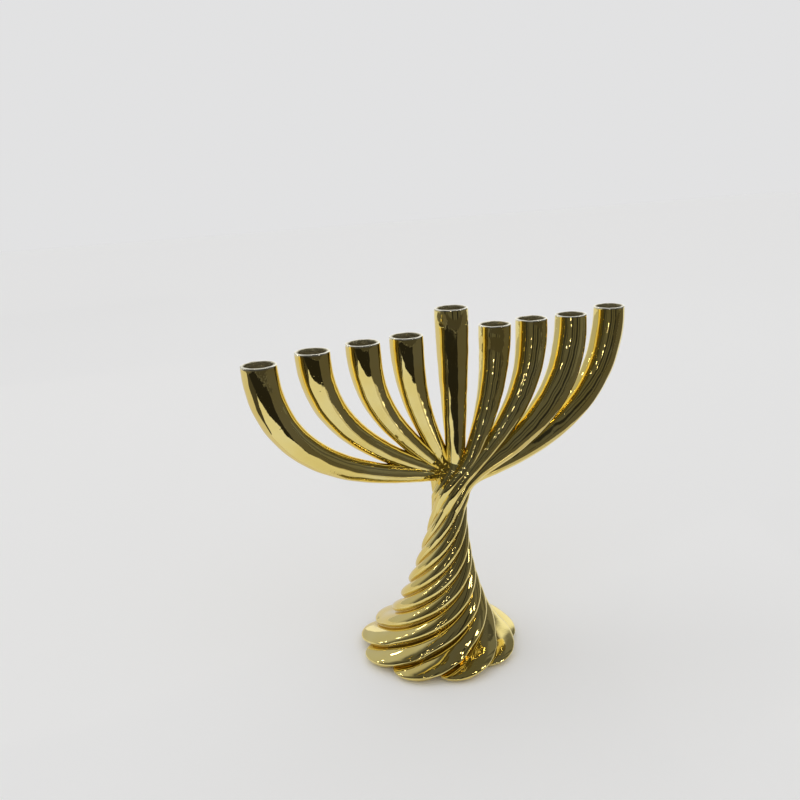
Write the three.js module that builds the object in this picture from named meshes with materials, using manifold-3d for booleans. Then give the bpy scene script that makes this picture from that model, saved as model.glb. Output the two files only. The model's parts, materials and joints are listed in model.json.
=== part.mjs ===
// Nine-branch menorah: a twisted, fluted stem that flares into its own foot, eight horn-shaped
// branches that fan out of the waist, the taller shamash in the middle, and a felt pad underneath.
//
// Millimetres, +Z up. The origin is on the table, right under the shamash. The branches fan out
// along X. The left side is about the same as the right side after half a turn about Z.

import * as THREE from "three";
import { mergeVertices } from "three/addons/utils/BufferGeometryUtils.js";
import Module from "manifold-3d";

const wasm = await Module();
wasm.setup();

// ---- driving dimensions ----

const shamashTop = 305;
const branchTop = 285.5;
const fitGap = 0.3;

// Every branch is a horn: a thin root at the waist that grows steadily and draws in a little at
// the mouth.
const mouthRadius = 13.9;
const mouthTuck = 1;
const tuckPower = 12;
const rootRadius = 4.9;
const rimChamfer = 0.8;
const cupRadius = 11.1;
const cupDepth = 22;

// The right branches fan out from a point at the front of the waist, and their mouths lie a
// little behind the middle plane. The left branches are the same after half a turn.
const fanHeight = 155;
const fanForward = 9.7;
const mouthBehind = 5;
const mouthSwing = 0.13;

// Below the fan, each branch bends down into the end of its own strand of the stem.
const tailHeight = 141;
const tailDistance = 12;
const bendTightness = 0.4;

// reach: mouth axis from the shamash axis. rise: direction at the fan point, in degrees above the
// horizontal. rootPull and mouthPull: the curve's two handles, as shares of the straight distance.
const branches = [
  { reach: 41.8, rise: 63, rootPull: 0.43, mouthPull: 0.35 },
  { reach: 79.7, rise: 41, rootPull: 0.58, mouthPull: 0.24 },
  { reach: 122, rise: 22.5, rootPull: 0.61, mouthPull: 0.22 },
  { reach: 164.8, rise: 13, rootPull: 0.18, mouthPull: 0.51 },
];

// What differs between the hand-set branches. bend: where the bend out of the strand ends, as the
// fan curve's t, long on the right and short on the left. belly: how much thicker than an even
// taper the middle is. lift and out: how far the mouth stands above branchTop and beyond reach.
const rightBranches = [
  { bend: 0.16, belly: 0.4, lift: 0.4, out: 0 },
  { bend: 0.17, belly: 0.4, lift: 0.4, out: 0 },
  { bend: 0.17, belly: 2.3, lift: -1.3, out: 0 },
  { bend: 0.19, belly: 1.5, lift: 0.8, out: 0.5 },
];
const leftBranches = [
  { bend: 0.06, belly: 0.7, lift: 1.7, out: 0.5 },
  { bend: 0.05, belly: 0.4, lift: 1.5, out: 1.1 },
  { bend: 0.05, belly: 0.2, lift: 0.8, out: 1.2 },
  { bend: 0.14, belly: 0.8, lift: -3.2, out: 1.3 },
];

const shamashBottom = 160.3;
const shamashRootRadius = 7;
const shamashBelly = 0.6;

// The stem is a bundle of strands, wound like a rope, one for each candle. Its axis leans: it
// passes the waist at waistSway from the shamash axis and meets the table at footSway.
const strandCount = 9;
const strandDepth = 0.25;
const strandPhase = -28;
const waistTwistRate = 2.09;
const footTwistExtra = 0.91;
const footTwistHeight = 5;
const waistSway = -6.5;
const footSway = -24;
const stemTop = 174;
const twistHeight = 140;

// Above the tails the stem closes as a smooth dome that leans back under the shamash.
const domeSway = -1.5;
const domeHeight = 168;

// Outline of the strand crests: radius and height, from the foot's lower edge to the stem's top.
const footEdgeHeight = 0.4;
const crestOutline = [
  [64, footEdgeHeight], [69, 2.5], [71, 7], [64, 13], [53.5, 20], [43.8, 34], [33.8, 56],
  [26, 78], [20.4, 100], [16.4, 122], [15.9, 134], [16.6, 142], [15.4, 150], [13.4, 158],
  [10.6, 165], [6, 171.5],
];
const outlineSteps = 34;

// The casting is hollow from below, and a felt pad is glued into a recess of its foot.
const padRadius = 50;
const padThickness = 1.5;
const recessHeight = padThickness + fitGap;
const hollowRadius = 46;
const hollowTop = 112;
const hollowTopRadius = 6;
const hollowSteps = 7;

// ---- materials ----

function metal(name, color, roughness, metalness) {
  const material = new THREE.MeshStandardMaterial({ color, roughness, metalness });
  material.name = name;
  return material;
}

const polishedGold = metal("polished_gold", 0xd9b44c, 0.06, 1);
const blackFelt = metal("black_felt", 0x1b1b1d, 0.95, 0);

// ---- closed meshes and booleans ----

// Merges a geometry's shared corners, drops its empty triangles and gives it to manifold-3d.
function toSolid(geometry) {
  const bare = geometry.clone();
  bare.deleteAttribute("normal");
  bare.deleteAttribute("uv");
  const merged = mergeVertices(bare, 1e-3);
  const corners = merged.index.array;
  const kept = [];
  for (let i = 0; i < corners.length; i += 3) {
    const [a, b, c] = corners.slice(i, i + 3);
    if (a !== b && b !== c && c !== a) {
      kept.push(a, b, c);
    }
  }
  const vertProperties = new Float32Array(merged.attributes.position.array);
  const triVerts = new Uint32Array(kept);
  return new wasm.Manifold(new wasm.Mesh({ numProp: 3, vertProperties, triVerts }));
}

// Turns a solid back into a geometry. A cut can leave crumbs, so only the largest piece is kept.
function toGeometry(solid) {
  const pieces = solid.decompose();
  pieces.sort((a, b) => b.volume() - a.volume());
  const mesh = pieces[0].getMesh();
  const geometry = new THREE.BufferGeometry();
  geometry.setAttribute("position", new THREE.BufferAttribute(mesh.vertProperties, 3));
  geometry.setIndex(new THREE.BufferAttribute(mesh.triVerts, 1));
  geometry.computeVertexNormals();
  return geometry;
}

function cutAway(solid, cutters) {
  return cutters.reduce((rest, cutter) => rest.subtract(cutter), solid);
}

// Moves every corner of a geometry to where place(point) puts it.
function reshape(geometry, place) {
  const position = geometry.attributes.position;
  const point = new THREE.Vector3();
  for (let i = 0; i < position.count; i++) {
    point.fromBufferAttribute(position, i);
    place(point);
    position.setXYZ(i, point.x, point.y, point.z);
  }
  return geometry;
}

// ---- branches ----

// The part of a branch above the fan point.
function fanCurve({ reach, rise, rootPull, mouthPull }, { lift, out }) {
  const root = new THREE.Vector3(0, -fanForward, fanHeight);
  const mouthY = mouthBehind + mouthSwing * (reach - branches[0].reach);
  const mouth = new THREE.Vector3(reach, mouthY, branchTop);
  const span = root.distanceTo(mouth);
  const angle = THREE.MathUtils.degToRad(rise);
  const away = new THREE.Vector3(Math.cos(angle), 0, Math.sin(angle));
  const rootHandle = root.clone().addScaledVector(away, rootPull * span);
  const mouthHandle = mouth.clone().setZ(mouth.z - mouthPull * span);
  mouth.x += out;
  mouth.z += lift;
  return new THREE.CubicBezierCurve3(root, rootHandle, mouthHandle, mouth);
}

// What is left of a curve beyond t, by de Casteljau's halving.
function upperPart({ v0, v1, v2, v3 }, t) {
  const mix = (from, to) => from.clone().lerp(to, t);
  const [a, b, c] = [mix(v0, v1), mix(v1, v2), mix(v2, v3)];
  const [d, e] = [mix(a, b), mix(b, c)];
  return new THREE.CubicBezierCurve3(mix(d, e), e, c, v3);
}

// The whole axis of a branch: out of its own strand, round the bend and up to the mouth.
// strandShift counts strands from the right side's places, and stemX is where the stem's axis
// stands, seen from the branch's own side.
function branchPath(branch, index, handSet, { strandShift, stemX }) {
  const upper = upperPart(fanCurve(branch, handSet), handSet.bend);
  const strands = index + 1 - branches.length + strandShift;
  const turned = strandPhase + twist(tailHeight) + (360 / strandCount) * strands;
  const angle = THREE.MathUtils.degToRad(turned);
  const turnRate = THREE.MathUtils.degToRad(waistTwistRate);
  const outward = new THREE.Vector3(Math.cos(angle), Math.sin(angle), 0);
  const root = outward.clone().multiplyScalar(tailDistance).setZ(tailHeight);
  root.x += stemX;
  const climb = new THREE.Vector3(-outward.y, outward.x, 0);
  climb.multiplyScalar(turnRate * tailDistance).setZ(1).normalize();
  const handle = bendTightness * root.distanceTo(upper.v0);
  const start = upper.getTangent(0);
  const rootHandle = root.clone().addScaledVector(climb, handle);
  const bendHandle = upper.v0.clone().addScaledVector(start, -handle);
  const path = new THREE.CurvePath();
  path.add(new THREE.CubicBezierCurve3(root, rootHandle, bendHandle, upper.v0));
  path.add(upper);
  return path;
}

// A straight horn turned on a lathe, then bent so that its axis follows the curve.
// grow makes a fatter and slightly longer copy, which cuts the clearance in its neighbours.
function hornGeometry(curve, firstRadius, belly, grow = 0) {
  const sides = 16;
  const steps = 15;
  const length = curve.getLength();
  const profile = [new THREE.Vector2(0, -grow)];
  profile.push(new THREE.Vector2(firstRadius + grow, -grow));
  for (let i = 1; i < steps; i++) {
    const along = (length - rimChamfer) * (i / steps);
    const share = along / length;
    const taper = THREE.MathUtils.lerp(firstRadius, mouthRadius + mouthTuck, share);
    const radius = taper + 4 * belly * share * (1 - share) - mouthTuck * share ** tuckPower;
    profile.push(new THREE.Vector2(radius + grow, along));
  }
  profile.push(new THREE.Vector2(mouthRadius + grow, length - rimChamfer));
  profile.push(new THREE.Vector2(mouthRadius + grow - rimChamfer, length + grow));
  profile.push(new THREE.Vector2(0, length + grow));
  const straight = new THREE.LatheGeometry(profile, sides);
  const across = new THREE.Vector3();
  const other = new THREE.Vector3();
  return reshape(straight, (point) => {
    const share = THREE.MathUtils.clamp(point.y / length, 0, 1);
    const overrun = point.y - share * length;
    const centre = curve.getPointAt(share);
    const along = curve.getTangentAt(share);
    across.set(0, 1, 0).addScaledVector(along, -along.y).normalize();
    other.crossVectors(along, across);
    const { x, z } = point;
    point.copy(centre).addScaledVector(along, overrun);
    point.addScaledVector(across, z).addScaledVector(other, x);
  });
}

// The straight round hole that holds a candle, open at the mouth.
function candleCup(x, y, top) {
  const sides = 20;
  const cup = new THREE.CylinderGeometry(cupRadius, cupRadius, cupDepth * 2, sides);
  cup.rotateX(Math.PI / 2);
  cup.translate(x, y, top);
  return toSolid(cup);
}

// One side's four branches, and their fatter copies. Each branch gives way to the longer ones
// below it, and to the cutters of the other side.
function branchSolids(side, start, turn, cutters) {
  const paths = branches.map((branch, i) => branchPath(branch, i, side[i], start));
  const place = (solid) => solid.rotate([0, 0, turn]);
  const hornOf = (i, grow) => place(toSolid(hornGeometry(paths[i], rootRadius, side[i].belly, grow)));
  const grown = paths.map((_, i) => hornOf(i, fitGap));
  const solids = paths.map((path, i) => {
    const mouth = path.getPoint(1);
    const cup = place(candleCup(mouth.x, mouth.y, mouth.z));
    const horn = hornOf(i, 0);
    return cutAway(horn, [cup, ...grown.slice(i + 1), ...cutters]);
  });
  return { solids, grown };
}

function shamashHorn(grow) {
  const bottom = new THREE.Vector3(0, 0, shamashBottom);
  const top = new THREE.Vector3(0, 0, shamashTop);
  const axis = new THREE.LineCurve3(bottom, top);
  return toSolid(hornGeometry(axis, shamashRootRadius, shamashBelly, grow));
}

function shamashSolid(cutters) {
  return cutAway(shamashHorn(0), [candleCup(0, 0, shamashTop), ...cutters]);
}

// ---- stem ----

// Degrees that a strand has turned, going up, seen from above and counter-clockwise. The foot's
// rim isn't twisted.
function twist(height) {
  const turning = Math.max(height, footTwistHeight);
  const lower = Math.min(turning, twistHeight);
  return waistTwistRate * turning + footTwistExtra * (lower - (lower * lower) / (2 * twistHeight));
}

// How far up the dome a height is: 0 at its foot and 1 near its top.
function domeShare(height) {
  return THREE.MathUtils.clamp((height - tailHeight) / (domeHeight - tailHeight), 0, 1);
}

// Where the stem's axis stands at a height.
function sway(height) {
  const below = THREE.MathUtils.lerp(footSway, waistSway, Math.min(height / tailHeight, 1));
  return THREE.MathUtils.lerp(below, domeSway, domeShare(height));
}

// Share of the crest radius at an angle across the strands: round crests, sharp valleys that
// fade out over the dome.
function flute(degrees, height) {
  const pitch = 360 / strandCount;
  const fromCrest = THREE.MathUtils.euclideanModulo(degrees + pitch / 2, pitch) - pitch / 2;
  const across = (0.96 * fromCrest) / (pitch / 2);
  const depth = strandDepth * (1 - domeShare(height));
  return 1 - depth * (1 - Math.sqrt(1 - across * across));
}

function crestPoints() {
  const spline = new THREE.SplineCurve(crestOutline.map(([r, z]) => new THREE.Vector2(r, z)));
  return spline.getPoints(outlineSteps);
}

function hollowPoints() {
  const points = [new THREE.Vector2(0, hollowTop)];
  const mouthOfHollow = new THREE.Vector2(hollowRadius, recessHeight);
  const belly = new THREE.Vector2(hollowTopRadius * 2, hollowTop / 2);
  const ceiling = new THREE.Vector2(hollowTopRadius, hollowTop);
  const wall = new THREE.QuadraticBezierCurve(ceiling, belly, mouthOfHollow);
  points.push(...wall.getPoints(hollowSteps));
  points.push(new THREE.Vector2(padRadius + fitGap, recessHeight));
  points.push(new THREE.Vector2(padRadius + fitGap, footEdgeHeight));
  return points;
}

function stemSolid(cutters) {
  const samplesPerStrand = 6;
  const inside = hollowPoints();
  const outside = crestPoints();
  const profile = [...inside, ...outside, new THREE.Vector2(0, stemTop)];
  const lathe = new THREE.LatheGeometry(profile, strandCount * samplesPerStrand);
  const ringOf = (i) => i % profile.length;
  const position = lathe.attributes.position;
  for (let i = 0; i < position.count; i++) {
    const radius = Math.hypot(position.getX(i), position.getZ(i));
    const height = position.getY(i);
    const around = THREE.MathUtils.radToDeg(Math.atan2(-position.getZ(i), position.getX(i)));
    const fluted = ringOf(i) >= inside.length;
    const turned = strandPhase + around + (fluted ? twist(height) : 0);
    const angle = THREE.MathUtils.degToRad(turned);
    const reach = radius * (fluted ? flute(around, height) : 1);
    position.setXYZ(i, sway(height) + reach * Math.cos(angle), reach * Math.sin(angle), height);
  }
  return cutAway(toSolid(lathe), cutters);
}

// ---- assembly ----

const menorah = new THREE.Group();
menorah.name = "menorah";

function addPart(name, geometry, material) {
  const part = new THREE.Mesh(geometry, material);
  part.name = name;
  menorah.add(part);
  return part;
}

const rightStart = { strandShift: 0, stemX: waistSway };
const leftStart = { strandShift: -0.5, stemX: -waistSway };
const right = branchSolids(rightBranches, rightStart, 0, []);
const left = branchSolids(leftBranches, leftStart, 180, right.grown);
const allGrown = [...right.grown, ...left.grown];

addPart("twisted_stem", toGeometry(stemSolid([...allGrown, shamashHorn(fitGap)])), polishedGold);
addPart("shamash", toGeometry(shamashSolid(allGrown)), polishedGold);
branches.forEach((_, i) => {
  addPart(`branch_right_${i + 1}`, toGeometry(right.solids[i]), polishedGold);
  addPart(`branch_left_${i + 1}`, toGeometry(left.solids[i]), polishedGold);
});

const pad = new THREE.CylinderGeometry(padRadius, padRadius, padThickness, 48);
pad.rotateX(Math.PI / 2);
const padPart = addPart("felt_base_pad", pad, blackFelt);
padPart.position.set(sway(0), 0, padThickness / 2);

export default menorah;
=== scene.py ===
"""Nine-branch menorah, polished gold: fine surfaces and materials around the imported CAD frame.

Metres, +Z up, -Y is the front. The fan's and the stem's sizes are those of the CAD model.
"""
import json
import math

import bpy
import numpy as np
from mathutils import Matrix


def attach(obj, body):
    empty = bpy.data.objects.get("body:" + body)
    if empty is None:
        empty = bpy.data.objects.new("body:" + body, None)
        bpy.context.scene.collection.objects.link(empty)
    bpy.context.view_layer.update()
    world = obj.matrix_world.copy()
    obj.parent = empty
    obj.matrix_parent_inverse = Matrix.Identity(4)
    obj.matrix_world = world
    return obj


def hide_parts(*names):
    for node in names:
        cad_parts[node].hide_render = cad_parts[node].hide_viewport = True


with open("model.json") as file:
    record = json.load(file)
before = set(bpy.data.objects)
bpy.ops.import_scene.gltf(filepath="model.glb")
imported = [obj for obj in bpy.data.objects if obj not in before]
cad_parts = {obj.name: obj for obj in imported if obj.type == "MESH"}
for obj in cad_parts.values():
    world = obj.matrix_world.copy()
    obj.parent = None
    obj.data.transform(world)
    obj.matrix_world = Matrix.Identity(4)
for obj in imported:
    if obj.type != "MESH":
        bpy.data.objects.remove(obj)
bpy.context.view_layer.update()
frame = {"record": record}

MM = 0.001

# ---- sizes, mm ----

MOUTH_RADIUS = 13.9
MOUTH_TUCK = 1.0
TUCK_POWER = 12
ROOT_RADIUS = 4.9
RIM_ROUND = 0.6
CUP_RADIUS = 11.1
CUP_DEPTH = 22.0
CUP_FILLET = 1.5

FAN_POINT = np.array([0.0, -9.7, 155.0])
TAIL_HEIGHT = 141.0
TAIL_DISTANCE = 12.0
TAIL_START = 118.0
TAIL_SINK = 2.5
WAIST_TURN = 2.09
BEND_TIGHTNESS = 0.4

# direction at the fan point, degrees above the horizontal; the curve's two handles, as shares of
# the straight distance; where the bends of the right and of the left branch end; how much thicker
# than an even taper their middles are
BRANCHES = (
    dict(rise=63.0, root_pull=0.43, mouth_pull=0.35, bend=dict(right=0.16, left=0.06),
         belly=dict(right=0.4, left=0.7)),
    dict(rise=41.0, root_pull=0.58, mouth_pull=0.24, bend=dict(right=0.17, left=0.05),
         belly=dict(right=0.4, left=0.4)),
    dict(rise=22.5, root_pull=0.61, mouth_pull=0.22, bend=dict(right=0.17, left=0.05),
         belly=dict(right=2.3, left=0.2)),
    dict(rise=13.0, root_pull=0.18, mouth_pull=0.51, bend=dict(right=0.19, left=0.14),
         belly=dict(right=1.5, left=0.8)),
)
REACH = (41.8, 79.7, 122.0, 164.8)
BRANCH_TOP = 285.5
STRAND_SHIFT = dict(right=0, left=-0.5)
SHAMASH_BELLY = 0.6
SHAMASH_BOTTOM = 160.3

STRANDS = 9
STRAND_DEPTH = 0.25
STRAND_PHASE = -28.0
FOOT_TURN_EXTRA = 0.91
FOOT_TURN_HEIGHT = 5.0
TWIST_HEIGHT = 140.0
WAIST_SWAY = -6.5
FOOT_SWAY = -24.0
STEM_TOP = 174.0
DOME_SWAY = -1.5
DOME_HEIGHT = 168.0
FOOT_EDGE = 0.4
CREST_OUTLINE = (
    (64, FOOT_EDGE), (69, 2.5), (71, 7), (64, 13), (53.5, 20), (43.8, 34), (33.8, 56), (26, 78),
    (20.4, 100), (16.4, 122), (15.9, 134), (16.6, 142), (15.4, 150), (13.4, 158), (10.6, 165),
    (6, 171.5),
)

PAD_RADIUS = 50.0
PAD_THICKNESS = 1.5
RECESS_HEIGHT = 1.8
RECESS_RADIUS = 50.3
HOLLOW_RADIUS = 46.0
HOLLOW_TOP = 112.0
HOLLOW_TOP_RADIUS = 6.0


# ---- mesh helpers ----

def make_mesh(name, points, faces, body="root"):
    mesh = bpy.data.meshes.new(name)
    mesh.from_pydata((np.asarray(points) * MM).tolist(), [], faces)
    mesh.validate()
    mesh.update()
    mesh.polygons.foreach_set("use_smooth", np.ones(len(mesh.polygons), dtype=bool))
    piece = bpy.data.objects.new(name, mesh)
    bpy.context.scene.collection.objects.link(piece)
    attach(piece, body)
    return piece


def ring_faces(rings, sides):
    """Faces of a closed skin: a point, then rings of equal size, then a point."""
    faces = []
    first, last = 0, 1 + rings * sides
    for k in range(sides):
        n = (k + 1) % sides
        faces.append((first, 1 + n, 1 + k))
        faces.append((last, last - sides + k, last - sides + n))
    for r in range(rings - 1):
        low = 1 + r * sides
        for k in range(sides):
            n = (k + 1) % sides
            faces.append((low + k, low + n, low + sides + n, low + sides + k))
    return faces


def add_attribute(piece, name, values):
    layer = piece.data.attributes.new(name, "FLOAT", "POINT")
    layer.data.foreach_set("value", np.asarray(values, dtype=np.float32))


def arc(centre, radius, start, end, steps):
    """Points of an arc in a profile, angles in degrees."""
    angles = np.radians(np.linspace(start, end, steps))
    return [(centre[0] + radius * math.cos(a), centre[1] + radius * math.sin(a)) for a in angles]


def catmull_rom(points, steps):
    """A smooth curve through the points, with the end tangents of its first and last stretch."""
    p = np.array(points, dtype=float)
    p = np.vstack([2 * p[0] - p[1], p, 2 * p[-1] - p[-2]])
    out = []
    for i in range(1, len(p) - 2):
        for t in np.linspace(0, 1, steps, endpoint=False):
            a, b, c, d = p[i - 1:i + 3]
            out.append(0.5 * (2 * b + (c - a) * t + (2 * a - 5 * b + 4 * c - d) * t ** 2
                              + (3 * b - a - 3 * c + d) * t ** 3))
    out.append(p[-2])
    return np.array(out)


def bezier(p0, p1, p2, p3, steps):
    t = np.linspace(0, 1, steps)[:, None]
    return (1 - t) ** 3 * p0 + 3 * (1 - t) ** 2 * t * p1 + 3 * (1 - t) * t ** 2 * p2 + t ** 3 * p3


def even(points, steps):
    """The same line with evenly spaced points, and its length."""
    gaps = np.linalg.norm(np.diff(points, axis=0), axis=1)
    along = np.concatenate([[0], np.cumsum(gaps)])
    at = np.linspace(0, along[-1], steps)
    return np.stack([np.interp(at, along, points[:, k]) for k in range(3)], axis=1), along[-1]


def waviness(points, seed, size):
    """Smooth swells of a hand-polished surface, about -1 to 1, with humps about size mm across."""
    rng = np.random.default_rng(seed)
    total = np.zeros(len(points))
    for _ in range(7):
        direction = rng.normal(size=3)
        direction /= np.linalg.norm(direction)
        wave = math.tau / (size * rng.uniform(0.7, 1.6))
        total += np.sin(points @ direction * wave + rng.uniform(0, math.tau))
    return total / 3.5


# ---- branches and shamash ----

def twist(height):
    """Degrees that a strand has turned at a height. The foot's rim isn't twisted."""
    turning = np.maximum(height, FOOT_TURN_HEIGHT)
    lower = np.minimum(turning, TWIST_HEIGHT)
    return WAIST_TURN * turning + FOOT_TURN_EXTRA * (lower - lower ** 2 / (2 * TWIST_HEIGHT))


def dome_share(height):
    """How far up the stem's dome a height is: 0 at its foot and 1 near its top."""
    return np.clip((height - TAIL_HEIGHT) / (DOME_HEIGHT - TAIL_HEIGHT), 0, 1)


def sway(height):
    """Where the leaning stem's axis stands at a height."""
    below = FOOT_SWAY + (WAIST_SWAY - FOOT_SWAY) * np.minimum(height / TAIL_HEIGHT, 1)
    return below + (DOME_SWAY - below) * dome_share(height)


def half_turn(points):
    return points * np.array([-1, -1, 1])


def strand_axis(index, side, steps):
    """A branch's tail: it rises out of the stem along the crest of the strand that it ends."""
    heights = np.linspace(TAIL_START, TAIL_HEIGHT, steps)
    strands = index + 1 - len(BRANCHES) + STRAND_SHIFT[side]
    turned = np.radians(STRAND_PHASE + twist(heights) + 360 / STRANDS * strands)
    sunk = TAIL_SINK * (TAIL_HEIGHT - heights) / (TAIL_HEIGHT - TAIL_START)
    lean = sway(heights) if side == "right" else -sway(heights)
    distance = TAIL_DISTANCE - sunk
    return np.stack([lean + distance * np.cos(turned), distance * np.sin(turned), heights], axis=1)


def branch_axis(index, mouth, side):
    """Axis of a branch, as on the right: up its strand, round the bend and out to the mouth.

    Also the length of the fan curve, over which the branch tapers.
    """
    branch = BRANCHES[index]
    rise = math.radians(branch["rise"])
    even_mouth = np.array([REACH[index], mouth[1], BRANCH_TOP])
    span = np.linalg.norm(even_mouth - FAN_POINT)
    root_handle = FAN_POINT + branch["root_pull"] * span * np.array([math.cos(rise), 0, math.sin(rise)])
    mouth_handle = even_mouth - branch["mouth_pull"] * span * np.array([0, 0, 1])
    whole_fan = bezier(FAN_POINT, root_handle, mouth_handle, mouth, 400)
    fan_length = np.linalg.norm(np.diff(whole_fan, axis=0), axis=1).sum()
    fan = whole_fan[int(branch["bend"][side] * 400):]
    tail = strand_axis(index, side, 60)
    reach = BEND_TIGHTNESS * np.linalg.norm(fan[0] - tail[-1])
    climb = (tail[-1] - tail[-2]) / np.linalg.norm(tail[-1] - tail[-2])
    start = (fan[1] - fan[0]) / np.linalg.norm(fan[1] - fan[0])
    turn = bezier(tail[-1], tail[-1] + reach * climb, fan[0] - reach * start, fan[0], 60)
    return np.vstack([tail, turn[1:-1], fan]), fan_length


def horn(name, axis, taper_length, root_radius, belly, seed, sides=72, steps=150):
    """A horn round an axis that ends upright at the mouth, with its rim and its candle cup."""
    axis, length = even(axis, steps)
    along = np.linspace(0, length, steps)
    tangent = np.gradient(axis, axis=0)
    tangent /= np.linalg.norm(tangent, axis=1)[:, None]
    tangent[-1] = (0, 0, 1)
    across = np.array([0.0, 1, 0]) - tangent[:, 1:2] * tangent
    across /= np.linalg.norm(across, axis=1)[:, None]
    other = np.cross(tangent, across)
    left = length - along
    share = np.clip(1 - left / taper_length, 0, 1)
    radius = root_radius + (MOUTH_RADIUS + MOUTH_TUCK - root_radius) * share
    radius += 4 * belly * share * (1 - share) - MOUTH_TUCK * share ** TUCK_POWER

    # outer wall, then the rim's two rounded edges, the cup's wall and its floor
    wall = [(radius[i], i, 0.0) for i in range(steps) if left[i] > RIM_ROUND]
    rim = [(r, steps - 1, z) for r, z in
           arc((MOUTH_RADIUS - RIM_ROUND, -RIM_ROUND), RIM_ROUND, 0, 90, 7)]
    inner = [(r, steps - 1, z) for r, z in
             arc((CUP_RADIUS + RIM_ROUND, -RIM_ROUND), RIM_ROUND, 90, 180, 7)]
    cup = [(CUP_RADIUS, steps - 1, z) for z in np.linspace(-3, CUP_FILLET - CUP_DEPTH, 10)]
    floor = [(r, steps - 1, z) for r, z in
             arc((CUP_RADIUS - CUP_FILLET, CUP_FILLET - CUP_DEPTH), CUP_FILLET, 0, -90, 5)]
    floor += [(r, steps - 1, -CUP_DEPTH) for r in (7.0, 4.0, 1.5)]
    skin = wall + rim + inner + cup + floor

    angles = np.linspace(0, math.tau, sides, endpoint=False)
    points = [axis[0]]
    outward = [np.zeros(3)]
    for r, i, z in skin:
        spoke = across[i] * np.cos(angles)[:, None] + other[i] * np.sin(angles)[:, None]
        points += list(axis[i] + tangent[i] * z + spoke * r)
        outward += list(spoke)
    points.append(axis[-1] - (0, 0, CUP_DEPTH))
    outward.append(np.zeros(3))
    points, outward = np.array(points), np.array(outward)

    ring_left = np.repeat([left[i] - z for r, i, z in skin], sides)
    inside = np.repeat([1.0 if k >= len(wall) + len(rim) else 0.0 for k in range(len(skin))], sides)
    at_rim = np.repeat([1.0 if len(wall) <= k < len(wall) + len(rim) + len(inner) else 0.0
                        for k in range(len(skin))], sides)
    swell = 0.13 * waviness(points, seed, 26) + 0.05 * waviness(points, seed + 50, 9)
    points += outward * swell[:, None]
    uneven = 0.18 * waviness(points, seed + 90, 15) + 0.12 * waviness(points, seed + 70, 6)
    points[1:-1, 2] += uneven[1:-1] * np.exp(-ring_left / 2.5)
    faces = ring_faces(len(skin), sides)
    piece = make_mesh(name, points, faces)
    add_attribute(piece, "cup", np.concatenate([[0], inside, [1]]))
    add_attribute(piece, "rim", np.concatenate([[0], at_rim, [0]]))
    return piece


def mouth_of(name):
    """Centre of a mouth, mm, from the mount at the bottom of its candle cup."""
    mount = next(m for m in frame["record"]["mounts"] if m["name"] == f"candle_seat_{name}")
    return np.array(mount["pos_m"]) / MM + (0, 0, CUP_DEPTH)


def build_branches():
    pieces = []
    for index in range(len(BRANCHES)):
        for side in ("right", "left"):
            mouth = mouth_of(f"{side}_{index + 1}")
            if side == "left":
                mouth = half_turn(mouth)
            axis, taper = branch_axis(index, mouth, side)
            if side == "left":
                axis = half_turn(axis)
            belly = BRANCHES[index]["belly"][side]
            piece = horn(f"horn_{side}_{index + 1}", axis, taper, ROOT_RADIUS, belly,
                         seed=10 * index + (5 if side == "left" else 0))
            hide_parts(f"branch_{side}_{index + 1}")
            pieces.append(piece)
    return pieces


def build_shamash():
    top = mouth_of("shamash")
    bottom = np.array([0.0, 0, SHAMASH_BOTTOM])
    axis = np.linspace(bottom, top, 60)
    piece = horn("shamash_horn", axis, top[2] - SHAMASH_BOTTOM, 7, SHAMASH_BELLY, seed=77)
    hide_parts("shamash")
    return piece


# ---- stem and pad ----

def flute(across, height):
    """Share of the crest radius, from a crest at 0 to a valley at -1 or 1."""
    depth = STRAND_DEPTH * (1 - dome_share(height))
    return 1 - depth * (1 - np.sqrt(1 - (0.96 * across) ** 2))


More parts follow.
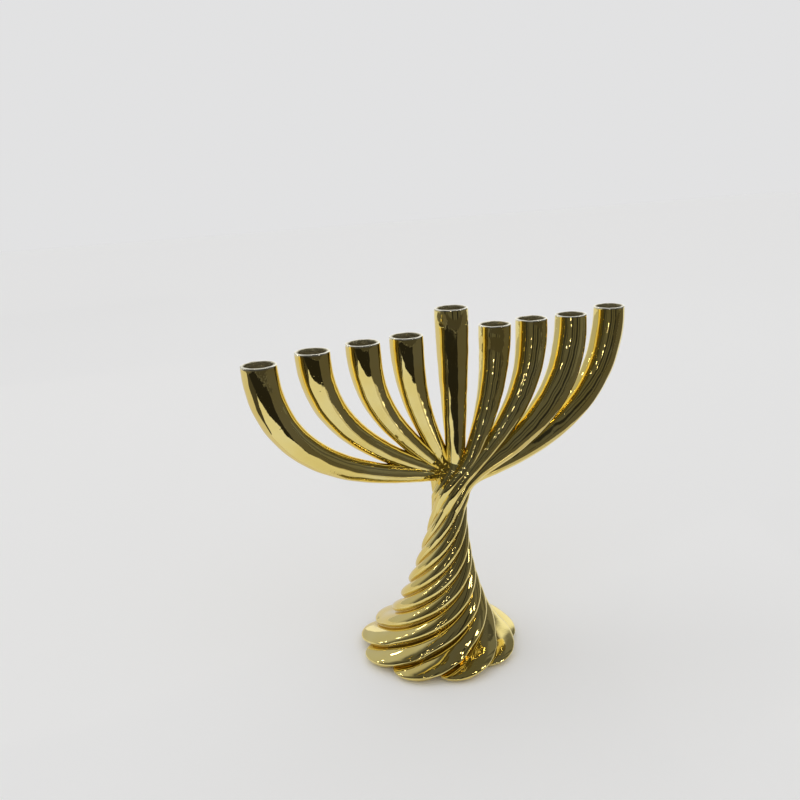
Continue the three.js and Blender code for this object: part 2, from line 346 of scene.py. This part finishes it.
def build_stem():
    per_strand = 28
    sides = STRANDS * per_strand
    outline = catmull_rom(CREST_OUTLINE, 16)
    angles = np.linspace(0, 360, sides, endpoint=False)
    pitch = 360 / STRANDS
    across = ((angles + pitch / 2) % pitch - pitch / 2) / (pitch / 2)
    rings = []
    valley = []

    wall = bezier(np.array([HOLLOW_TOP_RADIUS, HOLLOW_TOP]),
                  np.array([HOLLOW_TOP_RADIUS * 2, HOLLOW_TOP / 2]),
                  np.array([HOLLOW_TOP_RADIUS * 2.5, HOLLOW_TOP / 3]),
                  np.array([HOLLOW_RADIUS, RECESS_HEIGHT]), 30)
    recess = [(RECESS_RADIUS, RECESS_HEIGHT), (RECESS_RADIUS, FOOT_EDGE)]
    for r, z in [*wall, *recess]:
        turned = np.radians(STRAND_PHASE + angles)
        rings.append(np.stack([sway(z) + r * np.cos(turned), r * np.sin(turned),
                               np.full(sides, z)], axis=1))
        valley.append(np.zeros(sides))
    for r, z in outline:
        turned = np.radians(STRAND_PHASE + angles + twist(z))
        reach = r * flute(across, z)
        rings.append(np.stack([sway(z) + reach * np.cos(turned), reach * np.sin(turned),
                               np.full(sides, z)], axis=1))
        valley.append(np.abs(across) ** 6 * (1 - dome_share(z)))
    ceiling = np.array([[sway(HOLLOW_TOP), 0, HOLLOW_TOP]])
    top = np.array([[sway(STEM_TOP), 0, STEM_TOP]])
    points = np.vstack([ceiling, *rings, top])
    axis_xy = np.stack([sway(points[:, 2]), np.zeros(len(points))], axis=1)
    out = points[:, :2] - axis_xy
    far = np.linalg.norm(out, axis=1)[:, None]
    outer = np.arange(len(points)) > (len(wall) + len(recess)) * sides
    swell = 0.14 * waviness(points, 5, 24) + 0.05 * waviness(points, 6, 8)
    points[:, :2] += out / np.maximum(far, 1e-6) * (swell * outer)[:, None]
    piece = make_mesh("stem_casting", points, ring_faces(len(rings), sides))
    add_attribute(piece, "valley", np.concatenate([[0], *valley, [0]]))
    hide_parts("twisted_stem")
    return piece


def build_pad():
    sides = 128
    edge = 0.4
    outline = [(r, 0.0) for r in np.linspace(5, PAD_RADIUS - edge, 10)]
    outline += arc((PAD_RADIUS - edge, edge), edge, -90, 0, 5)[1:]
    outline += arc((PAD_RADIUS - edge, PAD_THICKNESS - edge), edge, 0, 90, 5)
    outline += [(r, PAD_THICKNESS) for r in np.linspace(PAD_RADIUS - 5, 5, 6)]
    angles = np.linspace(0, math.tau, sides, endpoint=False)
    rings = [np.stack([FOOT_SWAY + r * np.cos(angles), r * np.sin(angles), np.full(sides, z)], axis=1)
             for r, z in outline]
    points = np.vstack([[[FOOT_SWAY, 0, 0]], *rings, [[FOOT_SWAY, 0, PAD_THICKNESS]]])
    piece = make_mesh("felt_pad", points, ring_faces(len(rings), sides))
    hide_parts("felt_base_pad")
    return piece


# ---- materials ----

def new_material(name):
    material = bpy.data.materials.new(name)
    material.use_nodes = True
    return material, material.node_tree, material.node_tree.nodes["Principled BSDF"]


def add_node(tree, kind, **settings):
    node = tree.nodes.new(kind)
    for key, value in settings.items():
        if key in node.inputs:
            node.inputs[key].default_value = value
        else:
            setattr(node, key, value)
    return node


def colour_ramp(tree, low, low_colour, high, high_colour):
    node = add_node(tree, "ShaderNodeValToRGB")
    stops = ((low, low_colour), (high, high_colour))
    for element, (position, colour) in zip(node.color_ramp.elements, stops):
        element.position = position
        element.color = (*colour, 1)
    return node


def map_range(tree, source, from_min, from_max, to_min, to_max):
    node = add_node(tree, "ShaderNodeMapRange")
    node.inputs["From Min"].default_value = from_min
    node.inputs["From Max"].default_value = from_max
    node.inputs["To Min"].default_value = to_min
    node.inputs["To Max"].default_value = to_max
    tree.links.new(source, node.inputs["Value"])
    return node.outputs["Result"]


def bump(tree, height, strength, distance, under=None):
    """A bump whose strength is a number or a socket, on top of the relief under it."""
    node = add_node(tree, "ShaderNodeBump", Distance=distance)
    if isinstance(strength, float):
        node.inputs["Strength"].default_value = strength
    else:
        tree.links.new(strength, node.inputs["Strength"])
    tree.links.new(height, node.inputs["Height"])
    if under:
        tree.links.new(under, node.inputs["Normal"])
    return node.outputs["Normal"]


def mix_colour(tree, share, first, second):
    """first where share is 0 and second where it is 1; second is a plain colour."""
    node = add_node(tree, "ShaderNodeMix", data_type="RGBA")
    tree.links.new(share, node.inputs["Factor"])
    tree.links.new(first, node.inputs["A"])
    node.inputs["B"].default_value = (*second, 1)
    return node.outputs["Result"]


def gold_material():
    material, tree, shader = new_material("mirror_gold")
    link = tree.links.new
    place = add_node(tree, "ShaderNodeTexCoord").outputs["Object"]

    def noise(scale, detail, roughness=0.5):
        node = add_node(tree, "ShaderNodeTexNoise", Scale=scale, Detail=detail, Roughness=roughness)
        link(place, node.inputs["Vector"])
        return node.outputs["Fac"]

    def attribute(name):
        return add_node(tree, "ShaderNodeAttribute", attribute_name=name).outputs["Fac"]

    # the plating is a touch warmer in large soft patches. Painted highlight: paler on the rims. Painted
    # shade:
    # brown in the valleys between the strands, and dull and dark olive inside the candle cups
    tint = colour_ramp(tree, 0.35, (0.90, 0.72, 0.23), 0.68, (0.94, 0.80, 0.33))
    link(noise(28.0, 2.0), tint.inputs["Fac"])
    # painted highlight: the rims are coloured paler, as if they caught the light from above
    pale = mix_colour(tree, attribute("rim"), tint.outputs["Color"], (0.96, 0.93, 0.76))
    # painted shade: the valleys between the strands are coloured brown, darkest deep in the creases
    valley_painted_shade = mix_colour(tree, attribute("valley"), pale, (0.62, 0.46, 0.16))
    # painted shade: the inside of the candle cups is coloured a dark olive, as the shade deep in them
    cup_painted_shade = mix_colour(tree, attribute("cup"), valley_painted_shade, (0.55, 0.50, 0.33))
    link(cup_painted_shade, shader.inputs["Base Color"])

    link(map_range(tree, attribute("cup"), 0, 1, 1, 0.85), shader.inputs["Metallic"])

    # polish: nearly a mirror, duller where the cloth doesn't reach
    rough = map_range(tree, noise(70.0, 4.0), 0.3, 0.75, 0.03, 0.075)
    for name, amount in (("cup", 0.16), ("valley", 0.08), ("rim", 0.06)):
        more = add_node(tree, "ShaderNodeMath", operation="MULTIPLY_ADD")
        more.inputs[1].default_value = amount
        link(attribute(name), more.inputs[0])
        link(rough, more.inputs[2])
        rough = more.outputs[0]
    link(rough, shader.inputs["Roughness"])

    # relief: long ripples of the casting under the polish, a rough skin in the cups, fine ripples
    # and a few small pits
    relief = bump(tree, noise(75.0, 3.0, 0.55), 0.10, 0.001)
    in_cup = map_range(tree, attribute("cup"), 0, 1, 0, 0.6)
    relief = bump(tree, noise(420.0, 3.0), in_cup, 0.0015, relief)
    relief = bump(tree, noise(260.0, 2.0), 0.05, 0.0005, relief)
    pits = add_node(tree, "ShaderNodeTexVoronoi", Scale=150.0)
    link(place, pits.inputs["Vector"])
    relief = bump(tree, map_range(tree, pits.outputs["Distance"], 0.03, 0.10, 0, 1), 0.3, 0.0002, relief)
    link(relief, shader.inputs["Normal"])
    return material


def felt_material():
    material, tree, shader = new_material("dense_felt")
    link = tree.links.new
    shader.inputs["Roughness"].default_value = 0.95
    shader.inputs["Sheen Weight"].default_value = 0.35
    place = add_node(tree, "ShaderNodeTexCoord")
    fibres = add_node(tree, "ShaderNodeTexNoise", Scale=1400.0, Detail=6.0, Roughness=0.7)
    link(place.outputs["Object"], fibres.inputs["Vector"])
    tint = colour_ramp(tree, 0.3, (0.006, 0.006, 0.007), 0.8, (0.035, 0.034, 0.036))
    link(fibres.outputs["Fac"], tint.inputs["Fac"])
    link(tint.outputs["Color"], shader.inputs["Base Color"])
    link(bump(tree, fibres.outputs["Fac"], 0.6, 0.0003), shader.inputs["Normal"])
    return material


# ---- stage, lights, camera ----

def stage_object(name, points, faces):
    mesh = bpy.data.meshes.new(name)
    mesh.from_pydata(points, [], faces)
    thing = bpy.data.objects.new(name, mesh)
    bpy.context.scene.collection.objects.link(thing)
    return thing


def rectangle(x_low, x_high, y_low, y_high, z):
    corners = [(x_low, y_low, z), (x_high, y_low, z), (x_high, y_high, z), (x_low, y_high, z)]
    return corners, [(0, 1, 2, 3)]


def spherical(radius, azimuth, elevation):
    """A place round the table's middle: azimuth 0 is the front, -Y, and 90 the right, +X."""
    azimuth, elevation = math.radians(azimuth), math.radians(elevation)
    flat = radius * math.cos(elevation)
    return (flat * math.sin(azimuth), -flat * math.cos(azimuth), radius * math.sin(elevation))


def card(name, points, faces, glow):
    """A glowing card that only the polished metal sees. It lights nothing and shades nothing.

    glow is one radiance for the whole card, or one for each of its points.
    """
    thing = stage_object(name, points, faces)
    thing.visible_camera = False
    thing.visible_diffuse = False
    thing.visible_shadow = False
    material, tree, shader = new_material(name)
    shader.inputs["Base Color"].default_value = (0, 0, 0, 1)
    shader.inputs["Specular IOR Level"].default_value = 0.0
    shader.inputs["Emission Strength"].default_value = 1.0
    if isinstance(glow, float):
        shader.inputs["Emission Color"].default_value = (glow, glow * 0.95, glow * 0.88, 1)
    else:
        add_attribute(thing, "glow", glow)
        level = add_node(tree, "ShaderNodeAttribute", attribute_name="glow")
        tree.links.new(level.outputs["Color"], shader.inputs["Emission Color"])
    thing.data.materials.append(material)


def smooth(value, low, high):
    share = min(max((value - low) / (high - low), 0), 1)
    return share * share * (3 - 2 * share)


# middle and half width, degrees, and darkness of the upright bands in the front of the room
BANDS = (
    (-62, 7, 0.7), (-47, 3, 0.6), (-12, 5, 0.75), (4, 2.5, 0.5), (22, 6, 0.8), (40, 3, 0.6),
    (70, 5, 0.5), (88, 3, 0.6),
)


def room_glow(azimuth, elevation):
    """A dim room in front and above, a lit wall behind the table, brightest on the right.

    Dark furniture and door frames stand as upright bands in the front of the room.
    """
    front, right, wall_left, wall_right, ceiling = 0.10, 0.16, 0.48, 0.95, 0.10
    level = front + (right - front) * smooth(azimuth, 40, 65)
    for middle, half_width, share in BANDS:
        level *= 1 - share * (1 - smooth(abs(azimuth - middle), half_width * 0.7, half_width * 1.1))
    level += (wall_right - level) * smooth(azimuth, 112, 124)
    level += (wall_left - level) * smooth(-azimuth, 88, 125)
    return level + (ceiling - level) * smooth(elevation, 56, 62)


def build_room():
    radius, step = 2.4, 4
    azimuths = range(-180, 181, 2)
    elevations = range(-2, 91, step)
    points = [spherical(radius, a, e) for e in elevations for a in azimuths]
    glow = [room_glow(a, e) for e in elevations for a in azimuths]
    wide = len(azimuths)
    faces = [(r * wide + k, r * wide + k + 1, (r + 1) * wide + k + 1, (r + 1) * wide + k)
             for r in range(len(elevations) - 1) for k in range(wide - 1)]
    card("card_room", points, faces, glow)


# What the metal sees of the floor: outline seen from above, m, and radiance. The floor is lit from
# the object's foot to a short way in front. It fades to the right, where a lamp glares off it, and
# is dimmer behind on the left.
FLOOR_CARDS = (
    (((-1.3, -1.0), (0.3, -1.0), (0.06, -0.33), (-0.60, -0.33), (-1.3, -0.30)), 0.018),
    (((-1.3, -0.30), (-0.60, -0.33), (-0.46, -0.17), (-0.32, -0.04), (-0.32, 0.0), (-1.3, 0.04)), 0.06),
    (((-1.3, 0.04), (-0.32, 0.0), (0.0, 0.08), (0.0, 1.3), (-1.3, 1.3)), 0.66),
    (((0.3, -1.0), (2.4, -1.0), (2.4, 0.3), (0.42, 0.12), (0.34, -0.15), (0.06, -0.33)), 0.10),
    (((0.06, -0.33), (0.34, -0.15), (0.42, 0.12), (0.30, 0.10), (0.10, -0.10)), 0.55),
    (((-2.4, -2.4), (2.4, -2.4), (2.4, -1.0), (-2.4, -1.0)), 0.06),
    (((-2.4, -1.0), (-1.3, -1.0), (-1.3, 1.3), (-2.4, 1.3)), 0.12),
    (((0.165, -0.235), (0.22, -0.215), (0.21, -0.185), (0.155, -0.205)), 1.7),
)


def build_floor_cards():
    above, step = 0.002, 0.0002
    for number, (outline, glow) in enumerate(FLOOR_CARDS):
        points = [(x, y, above + step * number) for x, y in outline]
        card(f"card_floor_{number + 1}", points, [tuple(range(len(points)))], glow)


# azimuth, elevation and angular radius of the lamps that sparkle in the metal, degrees
LAMPS = (
    (-26, 9, 1.0), (-22, 17, 0.8), (-21, 25, 1.0), (-19, 31, 0.7), (-39, 36, 0.8), (-45, 46, 0.8),
    (34, 51, 2.2), (50, 41, 2.4), (54, 30, 2.0), (27, 62, 1.0),
    (-120, 30, 1.1), (-137, 42, 1.2), (-115, 40, 1.0), (-125, 34, 0.9), (-165, 40, 1.2),
    (127, -14, 0.5), (120, -13, 0.5),
)


def build_lamps():
    radius, sides = 2.2, 12
    for number, (azimuth, elevation, size) in enumerate(LAMPS):
        centre = np.array(spherical(radius, azimuth, elevation))
        across = np.array(spherical(1, azimuth + 90, 0))
        upward = np.cross(across, centre / radius)
        ring = [centre + radius * math.radians(size) * (across * math.cos(a) + upward * math.sin(a))
                for a in np.linspace(0, math.tau, sides, endpoint=False)]
        card(f"card_lamp_{number + 1}", [tuple(p) for p in ring], [tuple(range(sides))], 14.0)


def build_floor():
    far = 5.0
    floor = stage_object("floor", *rectangle(-far, far, -far, far, 0))
    material, _, shader = new_material("pale_floor")
    shader.inputs["Base Color"].default_value = (0.93, 0.928, 0.92, 1)
    shader.inputs["Roughness"].default_value = 0.8
    shader.inputs["Specular IOR Level"].default_value = 0.1
    floor.data.materials.append(material)


def build_lights():
    world = bpy.data.worlds.new("studio")
    world.use_nodes = True
    world.node_tree.nodes["Background"].inputs["Color"].default_value = (0.80, 0.80, 0.805, 1)
    world.node_tree.nodes["Background"].inputs["Strength"].default_value = 0.95
    bpy.context.scene.world = world
    # a wide soft lamp from the upper left, level over the whole floor
    light = bpy.data.lights.new("key", "SUN")
    light.energy = 0.22
    light.angle = math.radians(40)
    key = bpy.data.objects.new("key", light)
    key.rotation_euler = (math.radians(-14), math.radians(-32), 0)
    key.visible_glossy = False
    bpy.context.scene.collection.objects.link(key)


def build_camera():
    """The camera stands in front, to the left and above, turned a little about its own axis."""
    place = np.array([-0.269, -0.6392, 0.426])
    yaw, pitch, roll = np.radians([-19.03, 15.96, 3.0])
    focal_pixels = 847.4
    image_pixels = 800
    sensor = 36.0
    right = np.array([math.cos(yaw), math.sin(yaw), 0])
    back = np.array([math.sin(yaw) * math.cos(pitch), -math.cos(yaw) * math.cos(pitch), math.sin(pitch)])
    up = np.cross(back, right)
    turned_right = math.cos(roll) * right - math.sin(roll) * up
    turned_up = math.sin(roll) * right + math.cos(roll) * up
    data = bpy.data.cameras.new("camera")
    data.sensor_width = sensor
    data.lens = focal_pixels * sensor / image_pixels
    camera = bpy.data.objects.new("camera", data)
    matrix = Matrix.Identity(4)
    for i, column in enumerate((turned_right, turned_up, back, place)):
        for j in range(3):
            matrix[j][i] = column[j]
    camera.matrix_world = matrix
    bpy.context.scene.collection.objects.link(camera)
    bpy.context.scene.camera = camera


# ---- assembly ----

build_camera()
gold = gold_material()
felt = felt_material()
for piece in [build_stem(), build_shamash(), *build_branches()]:
    piece.data.materials.append(gold)
pad = build_pad()
pad.data.materials.append(felt)
build_floor()
build_room()
build_floor_cards()
build_lamps()
build_lights()
bpy.context.scene.view_settings.view_transform = "Standard"
